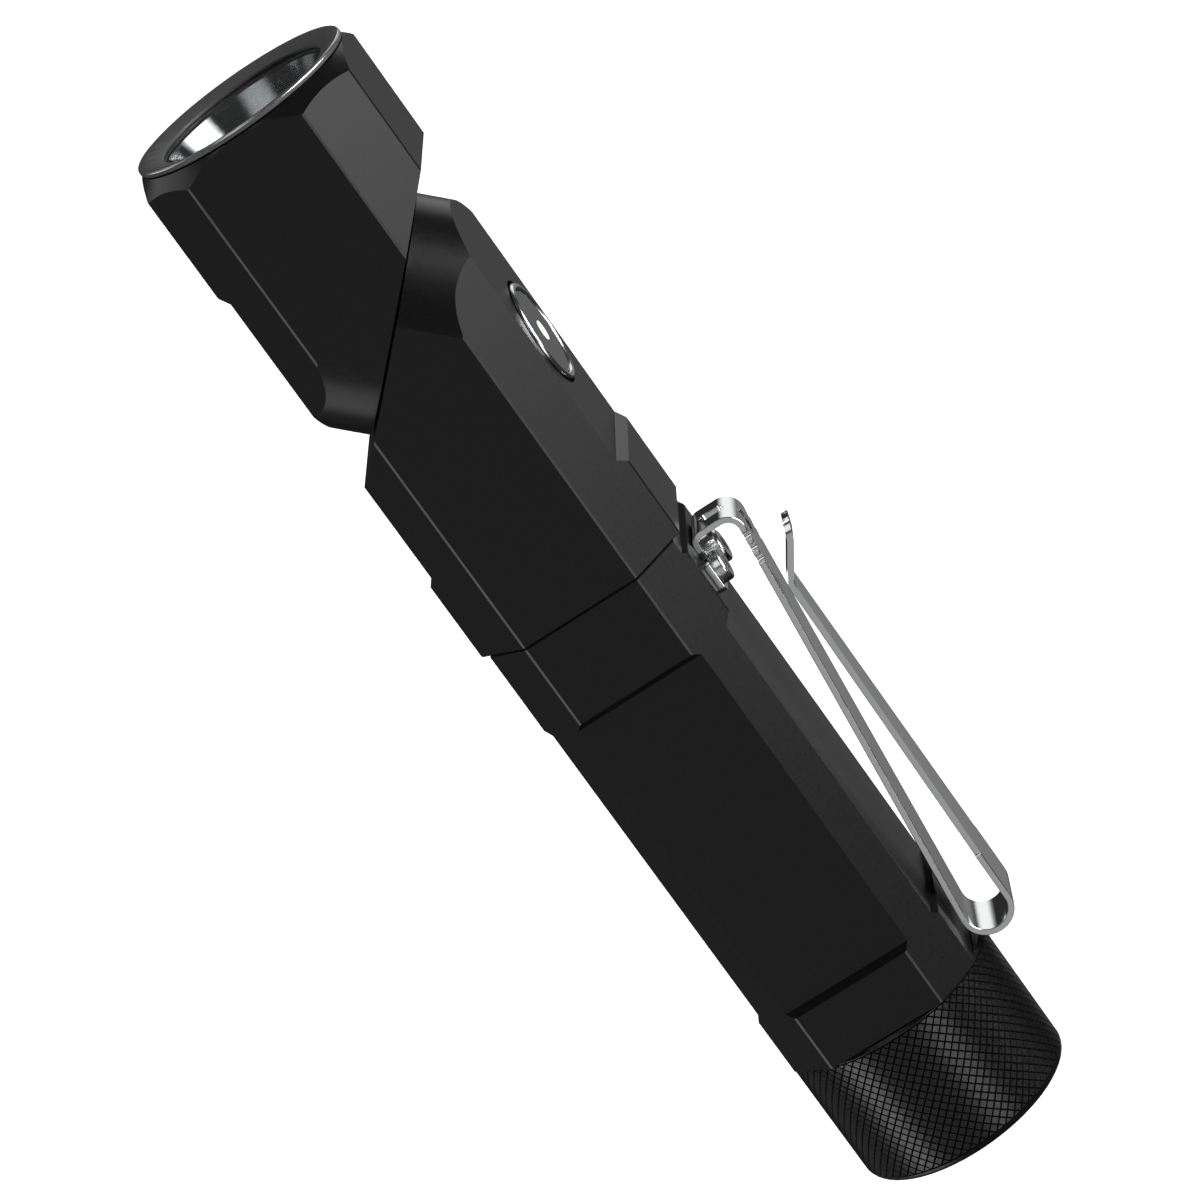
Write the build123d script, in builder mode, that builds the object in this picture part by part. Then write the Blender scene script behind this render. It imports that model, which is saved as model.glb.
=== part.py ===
"""Swivel-head pocket flashlight.

The light stands on its tail: the origin is the centre of the tail face and +Z runs along the
axis to the lens. +X is the side of the button and the pocket clip. The outside is an octagon
cut across at 45 degrees, and the head turns about the axis square to that cut.
"""

import math
import os

from build123d import *

# ---- Outside shape ----
across_flats = 26.0  # octagon, flat to flat
flat_width = 14.6  # width of the four faces on X and Y, before any is lowered
edge_break = 0.25  # chamfer along the octagon's edges
total_length = 143.7
swivel_gap = 0.3  # between the two cut faces
turned_proud = 0.3  # the tips of the cut are turned to a round this far outside the faces
switch_bay_length = 27.1  # from the driver's pocket to where the swivel axis crosses the light's
cap_height = 17.8
cap_proud = 0.45  # the cap stands this far outside the faces
cap_gap = 0.2  # between the cap and the tube's collar
cap_foot_radius = 1.6
cap_mouth_chamfer = 0.35

# ---- Lowered faces ----
housing_drop = 0.92  # faces on X, above their pads
pad_length = 9.9  # from the tube's joint up
ramp_length = 1.1
head_drop = 1.0  # face on -X, below its pad
head_pad_length = 14.5  # from the head's front down
collar_drop = 1.0  # collars, faces on X
grip_drop_x = 1.6
grip_drop_y = 0.75
lower_collar_length = 8.2
upper_collar_length = 11.4
grip_ramp = 0.8
clip_land_drop = 0.5  # the seat of the clip stands above its collar
clip_land_length = 8.0
clip_land_inset = 2.3  # from the tube's joint down
clip_land_ramp = 0.5

# ---- Fits ----
running = 0.06  # radial, between pieces that turn or slide
assembly = 0.05  # radial, between pieces that stay put
seat_play = 0.04  # between flat faces that turn against each other

# ---- Battery and tube ----
cell_diameter = 18.6
cell_length = 67.4
cell_nipple_diameter = 5.6
cell_nipple_height = 1.2
cell_edge_radius = 0.5
cell_play = 0.15
cell_bottom = 9.6
tube_past_cell = 1.7
neck_wall = 1.95
lower_neck_bottom = 6.2
upper_neck_length = 5.0
neck_end_play = 0.2
thread_pitch = 1.0
thread_depth = 0.45
thread_turns = 6
thread_start = 8.0
oring_wire = 1.2
oring_proud = 0.02  # radial, past the neck
oring_side_play = 0.15
lower_oring_inset = 2.4  # from the tube's end to the middle of the groove
upper_oring_inset = 2.2  # from the joint to the middle of the groove

# ---- Tail cap ----
cap_floor = 2.8
tail_board_thickness = 1.2
tail_ring_height = 1.9
tail_ring_wall = 1.5
spring_wire = 0.9
tail_spring_diameter = 8.0
tail_spring_turns = 3

# ---- Driver ----
driver_pocket_step = 0.8  # radial, inside the neck
driver_board_thickness = 1.2
board_edge_play = 0.1
driver_ring_height = 1.5
driver_ring_wall = 2.0
front_spring_height = 9.4
front_spring_diameter = 5.2
front_spring_turns = 5
cavity_diameter = 18.0

# ---- Button ----
button_below_pivot = 10.6
button_ring_diameter = 12.7
button_ring_wall = 1.05
button_ring_proud = 0.45
button_ring_round = 0.2
button_pocket_depth = 2.08
button_pocket_play = 0.14
button_flange_height = 0.6
button_flange_overlap = 0.45
button_travel = 0.4
button_dish = 0.2  # the cap's face below the ring's rim
button_play = 0.1
button_cap_round = 0.25
button_stem_diameter = 2.8
button_stem_hole = 6.4
window_diameter = 2.4
window_depth = 0.8
window_proud = 0.04
switch_board_thickness = 1.0
switch_board_face = 6.0  # distance of its outer face from the axis
switch_board_below = 6.6  # from the button's middle to the board's lower end
switch_board_above = 3.2
switch_side = 6.0
switch_height = 1.6
plunger_diameter = 2.4
plunger_spare = 0.15  # what still stands out of the switch when the button is pressed home

# ---- Swivel ----
web = 5.0  # solid left under each cut face
spindle_diameter = 9.0
spindle_thread_diameter = 8.0
spindle_bore = 4.4
spindle_flange_diameter = 12.0
spindle_flange_height = 1.6
spring_washer_thickness = 0.6
spindle_pocket_depth = 8.2
spindle_pocket_play = 0.3
bearing_washer_diameter = 16.2
bearing_recess = 0.6
swivel_seal_diameter = 22.0
swivel_seal_play = 0.1
stop_pin_diameter = 1.8
stop_pin_radius = 9.3
stop_pin_seat = 2.9
stop_pin_reach = 1.2
stop_track_depth = 1.5
stop_track_play = 0.1

# ---- Head ----
bezel_rim_height = 0.6
bezel_gap = 0.2
bezel_proud = 0.1  # outside the faces
bezel_bore = 20.6
bezel_lip = 0.6
bezel_break = 0.15
bezel_bore_height = 0.35
bezel_skirt_diameter = 24.0
bezel_skirt_wall = 0.7
bezel_skirt_length = 4.6
front_round_proud = 0.05  # outside the faces
front_round_length = 1.9
lens_thickness = 1.5
lens_seal_thickness = 0.4
reflector_flange = 1.0
reflector_mouth = 20.8
reflector_focus = 1.9
reflector_wall = 0.9
reflector_hole = 7.2
led_board_diameter = 15.0
led_board_thickness = 1.5
led_board_play = 0.3
led_gasket_diameter = 7.8
led_side = 3.5
led_height = 0.7
led_dome_diameter = 2.6
led_dome_height = 0.65
led_focus_gap = 0.02  # from the top of the dome up to the reflector's focus
led_screw_spacing = 11.2
m2_shank = 1.6
m2_head = 3.2
m2_head_height = 1.0
m2_head_round = 0.3
led_screw_depth = 2.7
head_cone_height = 7.4
wire_hole = 3.6

# ---- Clip ----
clip_thickness = 0.75
clip_width = 6.8  # at the standoff
clip_loop_width = 7.8
clip_shoulder_width = 7.2  # outer leg, above the loop
clip_flare_width = 4.9  # outer leg, at the foot of the flare
clip_tip_width = 4.2
clip_shoulder_rise = 8.95  # above the middle of the strip at the loop
clip_standoff_inset = 2.7  # from the tube's joint down
clip_reach = 5.9  # corner of the strip's centre line at the top, from the clip's seat
clip_base_bend = 1.1
clip_top_bend = 1.8
clip_loop_rise = 0.05  # above the tube's lower end
clip_loop_gap = 0.285  # between the strip and the tube's collar, at the loop
clip_loop_flat = 0.05  # straight length between the loop's two bends
clip_loop_bend = 2.8
clip_flare_points = [(0.16, 13.5), (2.95, 9.2), (3.75, 6.8)]  # past the leg, and below the joint
clip_flare_bends = [2.0, 1.2]
clip_plate_width = 10.9
clip_plate_length = 4.3
clip_plate_inset = 9.2  # from the tube's joint down to the plate's lower end
clip_plate_corner = 0.8
clip_slot_length = 3.3
clip_slot_width = 2.0
clip_leg_slot_inset = 5.2  # from the tube's joint down
clip_notch_insets = [8.7, 7.2, 5.7]  # from the tube's joint down
clip_notch_radius = 0.45
clip_screw_spacing = 5.8
clip_screw_head = 4.0
clip_screw_head_height = 1.2
clip_screw_shank = 2.0
clip_screw_depth = 2.4
clip_screw_recess = 1.9
clip_screw_recess_depth = 0.6
clip_screw_round = 0.4

# ---- Worked out from the sizes above ----
half = across_flats / 2
turned_diameter = across_flats + 2 * turned_proud
cap_diameter = across_flats + 2 * cap_proud
bezel_diameter = across_flats + 2 * bezel_proud
front_round_diameter = across_flats + 2 * front_round_proud
corner_reach = half + flat_width / 2  # |x| + |y| on the corner facets
corner_span = 2 * corner_reach / math.sqrt(2)
big = 3 * across_flats  # larger than any section, for cutting
tube_bottom = cap_height + cap_gap
cell_top = cell_bottom + cell_length
joint_height = cell_top + tube_past_cell  # where the housing meets the battery tube
driver_board_bottom = cell_top + front_spring_height
driver_pocket_top = driver_board_bottom + driver_board_thickness
pivot_height = driver_pocket_top + switch_bay_length
button_height = pivot_height - button_below_pivot
front_height = total_length - bezel_rim_height - bezel_gap
swivel_plane = Plane(origin=(0, 0, pivot_height), x_dir=(1, 0, 1), z_dir=(-1, 0, 1))
cell_bore = cell_diameter + 2 * cell_play
neck_diameter = cell_bore + 2 * neck_wall
lower_align = (Align.CENTER, Align.CENTER, Align.MIN)


def octagon():
    """The light's section, with its eight corners broken."""
    Rectangle(across_flats, across_flats)
    section = Rectangle(corner_span, corner_span, rotation=45, mode=Mode.INTERSECT)
    chamfer(section.vertices(), edge_break)


def lower_face(plane, outline, sides=(1, -1)):
    """Cuts a face down to an outline of (distance from the axis, height) points."""
    outer = half + 2
    for side in sides:
        with BuildSketch(plane) as waste:
            with BuildLine():
                ends = [(outer, outline[-1][1]), (outer, outline[0][1])]
                Polyline([(side * reach, height) for reach, height in outline + ends], close=True)
            make_face()
        extrude(waste.sketch, amount=big, both=True, mode=Mode.SUBTRACT)


def disc(plane, diameter, height, bore=0.0):
    """A disc, or a ring when it has a bore, standing on a plane."""
    with BuildSketch(plane) as section:
        Circle(diameter / 2)
        if bore:
            Circle(bore / 2, mode=Mode.SUBTRACT)
    extrude(section.sketch, amount=height)


def pocket(plane, diameter, depth, core=0.0):
    """A round pocket, or a ring groove when it has a core, sunk from a plane along its normal."""
    with BuildSketch(plane) as section:
        Circle(diameter / 2)
        if core:
            Circle(core / 2, mode=Mode.SUBTRACT)
    extrude(section.sketch, amount=depth, mode=Mode.SUBTRACT)


def oring(plane, diameter, wire):
    """A round ring whose wire's centre line has the diameter given, centred on a plane."""
    with BuildPart(plane) as ring:
        Torus(diameter / 2, wire / 2)
    return ring


def coil(bottom, top, diameter, wire, turns):
    """A compression spring between two heights on the light's axis."""
    height = top - bottom - wire
    with BuildPart() as spring:
        with BuildLine() as path:
            start = (0, 0, bottom + wire / 2)
            Helix(pitch=height / turns, height=height, radius=diameter / 2, center=start)
        with BuildSketch(Plane(origin=path.line @ 0, z_dir=path.line % 0)):
            Circle(wire / 2)
        sweep(is_frenet=True)
    return spring


def trim_tip(side):
    """Turns the acute tip of a cut end to the round; side is 1 for the housing, -1 for the head."""
    with BuildSketch(swivel_plane) as waste:
        with Locations((side * big / 2, 0)):
            Rectangle(big, big)
        Circle(turned_diameter / 2, mode=Mode.SUBTRACT)
    extrude(waste.sketch, amount=big, both=True, mode=Mode.SUBTRACT)


def keep_side(side):
    """Cuts the section off at its face of the swivel; side is 1 for the housing, -1 for the head."""
    with BuildSketch(swivel_plane.offset(-side * swivel_gap / 2)) as cut:
        Rectangle(2 * big, 2 * big)
    extrude(cut.sketch, amount=side * 2 * big, mode=Mode.SUBTRACT)


def xy(height):
    """The level plane at a height."""
    return Plane.XY.offset(height)


# ---- Tail cap and what it holds ----
cap_bore = neck_diameter + 2 * running
tail_board_bottom = cap_floor
tail_ring_bottom = tail_board_bottom + tail_board_thickness

with BuildPart() as tail_cap:
    disc(xy(0), cap_diameter, cap_height)
    fillet(tail_cap.edges().sort_by(Axis.Z)[0], cap_foot_radius)
    pocket(xy(cap_floor), cap_bore, cap_height)
    chamfer(tail_cap.edges().group_by(Axis.Z)[-1], cap_mouth_chamfer)

with BuildPart() as tail_contact_board:
    disc(xy(tail_board_bottom), cap_bore - 2 * assembly, tail_board_thickness)

with BuildPart() as tail_contact_ring:
    tail_ring_diameter = cap_bore - 2 * assembly
    disc(xy(tail_ring_bottom), tail_ring_diameter, tail_ring_height, tail_ring_diameter - 2 * tail_ring_wall)

spring_bottom = tail_ring_bottom + seat_play
spring_top = cell_bottom - seat_play
tail_spring = coil(spring_bottom, spring_top, tail_spring_diameter, spring_wire, tail_spring_turns)

# ---- Battery tube, its seals and the cell ----
lower_oring_height = tube_bottom - lower_oring_inset
upper_oring_height = joint_height + upper_oring_inset
grip_bottom = tube_bottom + lower_collar_length
grip_top = joint_height - upper_collar_length
clip_land_top = joint_height - clip_land_inset
clip_land_bottom = clip_land_top - clip_land_length
upper_neck_top = joint_height + upper_neck_length
groove_floor = neck_diameter - 2 * (oring_wire - oring_proud)
groove_width = oring_wire + 2 * oring_side_play
land_reach = half - clip_land_drop
collar_reach = half - collar_drop
grip_reach_x = half - grip_drop_x
collar_profile_low = [
    (collar_reach, tube_bottom - 1),
    (collar_reach, grip_bottom - grip_ramp),
    (grip_reach_x, grip_bottom),
    (grip_reach_x, grip_top),
]
collar_profile_plain = [
    (collar_reach, grip_top + grip_ramp),
    (collar_reach, joint_height + 1),
]
collar_profile_clip = [
    (land_reach, clip_land_bottom),
    (land_reach, clip_land_top),
    (collar_reach, clip_land_top + clip_land_ramp),
    (collar_reach, joint_height + 1),
]
clip_plate_end = joint_height - clip_plate_inset
clip_plate_middle = clip_plate_end + clip_plate_length / 2
clip_plate_top = land_reach + clip_thickness
clip_screw_plane = Plane(origin=(clip_plate_top, 0, clip_plate_middle), x_dir=(0, 1, 0), z_dir=(1, 0, 0))

with BuildPart() as battery_tube:
    with BuildSketch(xy(tube_bottom)):
        octagon()
    extrude(amount=joint_height - tube_bottom)
    lower_face(Plane.XZ, collar_profile_low + collar_profile_clip, sides=(1,))
    lower_face(Plane.XZ, collar_profile_low + collar_profile_plain, sides=(-1,))
    grip_profile_y = [
        (half, grip_bottom - grip_ramp),
        (half - grip_drop_y, grip_bottom),
        (half - grip_drop_y, grip_top),
        (half, grip_top + grip_ramp),
    ]
    lower_face(Plane.YZ, grip_profile_y)
    disc(xy(lower_neck_bottom), neck_diameter, tube_bottom - lower_neck_bottom)
    disc(xy(joint_height), neck_diameter, upper_neck_length)
    pocket(xy(lower_neck_bottom - 1), cell_bore, upper_neck_top - lower_neck_bottom + 2)
    for height in (lower_oring_height, upper_oring_height):
        pocket(xy(height - groove_width / 2), neck_diameter + 1, groove_width, core=groove_floor)
    for turn in range(thread_turns):
        groove_height = thread_start + turn * thread_pitch
        groove_core = neck_diameter - 2 * thread_depth
        pocket(xy(groove_height), neck_diameter + 1, thread_pitch / 2, core=groove_core)
    with BuildSketch(clip_screw_plane):
        with GridLocations(clip_screw_spacing, 0, 2, 1):
            Circle(clip_screw_shank / 2 + assembly)
    extrude(amount=-(clip_thickness + clip_screw_depth + assembly), mode=Mode.SUBTRACT)

oring_diameter = groove_floor + oring_wire
tail_oring = oring(xy(lower_oring_height), oring_diameter, oring_wire)
joint_oring = oring(xy(upper_oring_height), oring_diameter, oring_wire)

with BuildPart() as battery_cell:
    disc(xy(cell_bottom), cell_diameter, cell_length - cell_nipple_height)
    fillet(battery_cell.edges(), cell_edge_radius)
    disc(xy(cell_bottom + cell_length - cell_nipple_height), cell_nipple_diameter, cell_nipple_height)

# ---- Clip and its screws ----
strip_base = land_reach + clip_thickness / 2
strip_corner = land_reach + clip_reach
loop_left = collar_reach + clip_loop_gap + clip_thickness / 2
clip_loop_height = tube_bottom + clip_loop_rise
clip_shoulder_height = clip_loop_height + clip_shoulder_rise
clip_standoff_height = joint_height - clip_standoff_inset
inner_leg_lean = math.atan2(strip_corner - loop_left, clip_standoff_height - clip_loop_height)
loop_tangent = clip_loop_bend / math.tan(math.pi / 4 - inner_leg_lean / 2)
loop_right = loop_left + loop_tangent + clip_loop_flat + clip_loop_bend
base_path = [
    (strip_base, clip_plate_end),
    (strip_base, clip_standoff_height),
    (strip_corner, clip_standoff_height),
    (loop_left, clip_loop_height),
    (loop_right, clip_loop_height),
    (loop_right, clip_shoulder_height),
]
base_bends = [clip_base_bend, clip_top_bend, clip_loop_bend, clip_loop_bend]
flare_path = [(loop_right + reach, joint_height - drop) for reach, drop in clip_flare_points]
leg_path = [(loop_right, clip_shoulder_height)] + flare_path


def strip(path, bends, width):
    """A length of the clip's strip, bent along a path of (distance from the axis, height) points."""
    with BuildPart() as length:
        with BuildSketch(Plane.XZ):
            with BuildLine():
                FilletPolyline(*path, radius=bends)
            trace(line_width=clip_thickness)
        extrude(amount=width / 2, both=True)
    return length.part


def taper(stations):
    """Narrows a strip to the (height, width) stations given, seen from the side of the clip."""
    with BuildSketch(Plane.YZ) as outline:
        with BuildLine():
            near = [(-width / 2, height) for height, width in stations]
            far = [(width / 2, height) for height, width in reversed(stations)]
            Polyline(near + far, close=True)
        make_face()
    extrude(outline.sketch, amount=2 * across_flats, mode=Mode.INTERSECT)


flare_reach, flare_foot = flare_path[0]
tip_height = flare_path[-1][1]

with BuildPart() as clip_leg:
    add(strip(leg_path, clip_flare_bends, clip_loop_width))
    tip_middle = tip_height - clip_tip_width / 2
    leg_stations = [
        (clip_shoulder_height, clip_shoulder_width),
        (flare_foot, clip_flare_width),
        (tip_height + 1, clip_tip_width),
    ]
    taper([(clip_shoulder_height - 1, clip_shoulder_width)] + leg_stations)
    with BuildSketch(Plane.YZ.offset(flare_reach)):
        with Locations((0, tip_middle + clip_tip_width)):
            Rectangle(2 * clip_tip_width, 2 * clip_tip_width)
        with Locations((0, tip_middle)):
            Circle(clip_tip_width / 2, mode=Mode.SUBTRACT)
    extrude(amount=across_flats, mode=Mode.SUBTRACT)

with BuildPart() as clip:
    add(strip(base_path, base_bends, clip_loop_width))
    base_stations = [
        (clip_loop_height - clip_thickness, clip_loop_width),
        (clip_shoulder_height, clip_loop_width),
        (clip_standoff_height - clip_top_bend, clip_width),
        (clip_standoff_height + clip_thickness, clip_width),
    ]
    taper(base_stations)
    add(clip_leg.part)
    with BuildSketch(clip_screw_plane):
        RectangleRounded(clip_plate_width, clip_plate_length, clip_plate_corner)
    extrude(amount=-clip_thickness)
    with BuildSketch(clip_screw_plane):
        with GridLocations(clip_screw_spacing, 0, 2, 1):
            Circle(clip_screw_shank / 2 + assembly)
    extrude(amount=-clip_thickness, mode=Mode.SUBTRACT)
    with BuildSketch(xy(clip_standoff_height)):
        with Locations(((strip_base + strip_corner) / 2, 0)):
            SlotOverall(clip_slot_length, clip_slot_width)
    extrude(amount=clip_thickness, both=True, mode=Mode.SUBTRACT)
    leg_slot_height = joint_height - clip_leg_slot_inset
    slot_plane = Plane(origin=(strip_corner, 0, leg_slot_height), x_dir=(0, 0, 1), z_dir=(1, 0, 0))
    with BuildSketch(slot_plane):
        SlotOverall(clip_slot_length, clip_slot_width)
    extrude(amount=clip_top_bend, both=True, mode=Mode.SUBTRACT)
    with BuildSketch(Plane.YZ.offset(strip_corner)):
        for inset in clip_notch_insets:
            height = joint_height - inset
            with Locations((-clip_width / 2, height), (clip_width / 2, height)):
                Circle(clip_notch_radius)
    extrude(amount=clip_top_bend, both=True, mode=Mode.SUBTRACT)

with BuildPart() as clip_screws:
    with BuildSketch(clip_screw_plane):
        with GridLocations(clip_screw_spacing, 0, 2, 1):
            Circle(clip_screw_head / 2)
    extrude(amount=clip_screw_head_height)
    fillet(clip_screws.edges().group_by(Axis.X)[-1], clip_screw_round)
    with BuildSketch(clip_screw_plane.offset(clip_screw_head_height)):
        with GridLocations(clip_screw_spacing, 0, 2, 1):
            RegularPolygon(clip_screw_recess / 2, 6)
    extrude(amount=-clip_screw_recess_depth, mode=Mode.SUBTRACT)
    with BuildSketch(clip_screw_plane):
        with GridLocations(clip_screw_spacing, 0, 2, 1):
            Circle(clip_screw_shank / 2)
    extrude(amount=-(clip_thickness + clip_screw_depth))

# ---- Housing between the tube and the head ----
housing_reach = half - housing_drop
pad_top = joint_height + pad_length
driver_pocket_diameter = neck_diameter - 2 * driver_pocket_step
web_plane = swivel_plane.offset(-swivel_gap / 2 - web)
button_plane = Plane(origin=(housing_reach, 0, button_height), x_dir=(0, 1, 0), z_dir=(1, 0, 0))
button_floor_plane = button_plane.offset(-button_pocket_depth)
spindle_hole = spindle_diameter + 2 * running
spindle_pocket = spindle_flange_diameter + 2 * spindle_pocket_play
stop_arc = CenterArc((0, 0), stop_pin_radius, -90, 180)
cavity_length = total_length - driver_pocket_top
cavity = Pos(0, 0, driver_pocket_top) * Cylinder(cavity_diameter / 2, cavity_length, align=lower_align)
cavity = split(cavity, bisect_by=web_plane, keep=Keep.BOTTOM)

with BuildPart() as body_housing:
    with BuildSketch(xy(joint_height)):
        octagon()
    extrude(amount=total_length - joint_height)
    housing_profile = [
        (half, pad_top),
        (housing_reach, pad_top + ramp_length),
        (housing_reach, total_length + 1),
    ]
    lower_face(Plane.XZ, housing_profile)
    keep_side(1)
    trim_tip(1)
    pocket(xy(joint_height - 1), neck_diameter + 2 * assembly, upper_neck_length + 1 + neck_end_play)
    pocket(xy(joint_height), driver_pocket_diameter, driver_pocket_top - joint_height)
    add(cavity, mode=Mode.SUBTRACT)
    pocket(swivel_plane, spindle_hole, -spindle_pocket_depth)
    pocket(web_plane, spindle_pocket, web - spindle_pocket_depth + swivel_gap / 2)
    with BuildSketch(swivel_plane.offset(-swivel_gap / 2)):
        SlotArc(stop_arc, stop_pin_diameter + 2 * stop_track_play)
    extrude(amount=-stop_track_depth, mode=Mode.SUBTRACT)
    pocket(button_plane, button_ring_diameter + 2 * button_pocket_play, -button_pocket_depth)
    pocket(button_plane, button_stem_hole, -(housing_reach - cavity_diameter / 2 + 1))

# ---- Driver board, its ring and the front spring ----
driver_ring_diameter = driver_pocket_diameter - 2 * assembly

with BuildPart() as driver_board:
    disc(xy(driver_board_bottom), driver_pocket_diameter - 2 * board_edge_play, driver_board_thickness)

with BuildPart() as driver_ring:
    ring_bore = driver_ring_diameter - 2 * driver_ring_wall
    disc(xy(driver_board_bottom - driver_ring_height), driver_ring_diameter, driver_ring_height, ring_bore)

front_spring = coil(cell_top, driver_board_bottom, front_spring_diameter, spring_wire, front_spring_turns)

# ---- Button, its ring and its switch ----
button_ring_bore = button_ring_diameter - 2 * button_ring_wall
button_face = button_pocket_depth + button_ring_proud - button_dish
button_flange_bottom = button_travel + button_play
button_flange_top = button_flange_bottom + button_flange_height
button_flange_diameter = button_ring_bore + 2 * button_flange_overlap
undercut_diameter = button_flange_diameter + 2 * button_play
undercut_top = button_flange_top + button_play
switch_top = switch_board_face + switch_height
plunger_reach = button_travel + plunger_spare
plunger_top = switch_top + plunger_reach
floor_reach = housing_reach - button_pocket_depth

with BuildPart() as button_ring:
    rim_height = button_pocket_depth + button_ring_proud
    disc(button_floor_plane, button_ring_diameter, rim_height, button_ring_bore)
    pocket(button_floor_plane, undercut_diameter, undercut_top)
    fillet(button_ring.edges().group_by(Axis.X)[-1], button_ring_round)

with BuildPart() as button_cap:
    flange_plane = button_floor_plane.offset(button_flange_bottom)
    disc(flange_plane, button_flange_diameter, button_flange_height)
    disc(flange_plane, button_ring_bore - 2 * button_play, button_face - button_flange_bottom)
    fillet(button_cap.edges().group_by(Axis.X)[-1], button_cap_round)
    disc(flange_plane, button_stem_diameter, plunger_top - floor_reach - button_flange_bottom)
    window_floor_plane = button_floor_plane.offset(button_face - window_depth)
    pocket(window_floor_plane, window_diameter + 2 * assembly, window_depth + 1)

with BuildPart() as indicator_window:
    disc(window_floor_plane, window_diameter, window_depth + window_proud)

switch_plane = Plane(origin=(switch_board_face, 0, button_height), x_dir=(0, 1, 0), z_dir=(1, 0, 0))
plunger_length = button_travel + 2 * plunger_reach

with BuildPart() as tactile_switch:
    with BuildSketch(switch_plane):
        Rectangle(switch_side, switch_side)
    extrude(amount=switch_height)
    plunger_hole_depth = plunger_length - plunger_reach + button_travel + button_play
    pocket(switch_plane.offset(switch_height), plunger_diameter + 2 * running, -plunger_hole_depth)

with BuildPart() as switch_plunger:
    plunger_bottom = plunger_top - switch_board_face - plunger_length
    disc(switch_plane.offset(plunger_bottom), plunger_diameter, plunger_length)

with BuildPart() as switch_board:
    board_length = switch_board_above + switch_board_below
    board_half_width = math.sqrt((cavity_diameter / 2) ** 2 - switch_board_face**2) - board_edge_play
    board_middle = button_height + (switch_board_above - switch_board_below) / 2
    with BuildSketch(Plane(origin=(switch_board_face, 0, board_middle), x_dir=(0, 1, 0), z_dir=(1, 0, 0))):
        Rectangle(2 * board_half_width, board_length)
    extrude(amount=-switch_board_thickness)

# ---- Swivel ----
spindle_web_end = swivel_gap / 2 + web + seat_play + spring_washer_thickness
bearing_top = swivel_gap / 2 + bearing_recess
bearing_height = bearing_top + swivel_gap / 2 - seat_play
spindle_head_end = swivel_gap / 2 + web

with BuildPart() as swivel_spindle:
    disc(swivel_plane.offset(-spindle_web_end), spindle_flange_diameter, -spindle_flange_height)
    disc(swivel_plane.offset(-spindle_web_end), spindle_diameter, spindle_web_end + bearing_top)
    disc(swivel_plane, spindle_thread_diameter, spindle_head_end)
    spindle_length = spindle_web_end + spindle_flange_height + spindle_head_end
    pocket(swivel_plane.offset(spindle_head_end + 1), spindle_bore, -(spindle_length + 2))

with BuildPart() as spring_washer:
    washer_bore = spindle_diameter + 4 * assembly
    disc(swivel_plane.offset(-spindle_web_end), spindle_flange_diameter, spring_washer_thickness, washer_bore)

with BuildPart() as bearing_washer:
    disc(swivel_plane.offset(bearing_top), bearing_washer_diameter, -bearing_height, washer_bore)

seal_plane = swivel_plane.offset(oring_wire / 2 - swivel_gap / 2 + seat_play)
swivel_seal = oring(seal_plane, swivel_seal_diameter, oring_wire)

with BuildPart() as swivel_stop_pin:
    with BuildSketch(swivel_plane.offset(-stop_pin_reach)):
        with Locations((0, -stop_pin_radius)):
            Circle(stop_pin_diameter / 2)
    extrude(amount=stop_pin_reach + stop_pin_seat)

# ---- Head ----
skirt_bottom = front_height - bezel_skirt_length
lens_top = front_height - bezel_gap
reflector_top = lens_top - lens_thickness - lens_seal_thickness
barrel_diameter = bezel_skirt_diameter - 2 * bezel_skirt_wall
reflector_apex = reflector_top - (reflector_mouth / 2) ** 2 / (4 * reflector_focus)
reflector_bottom = reflector_apex + (reflector_hole / 2) ** 2 / (4 * reflector_focus)
led_board_top = reflector_apex + reflector_focus - led_focus_gap - led_dome_height - led_height
led_shelf_height = led_board_top - led_board_thickness
head_pad_bottom = front_height - head_pad_length

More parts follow.
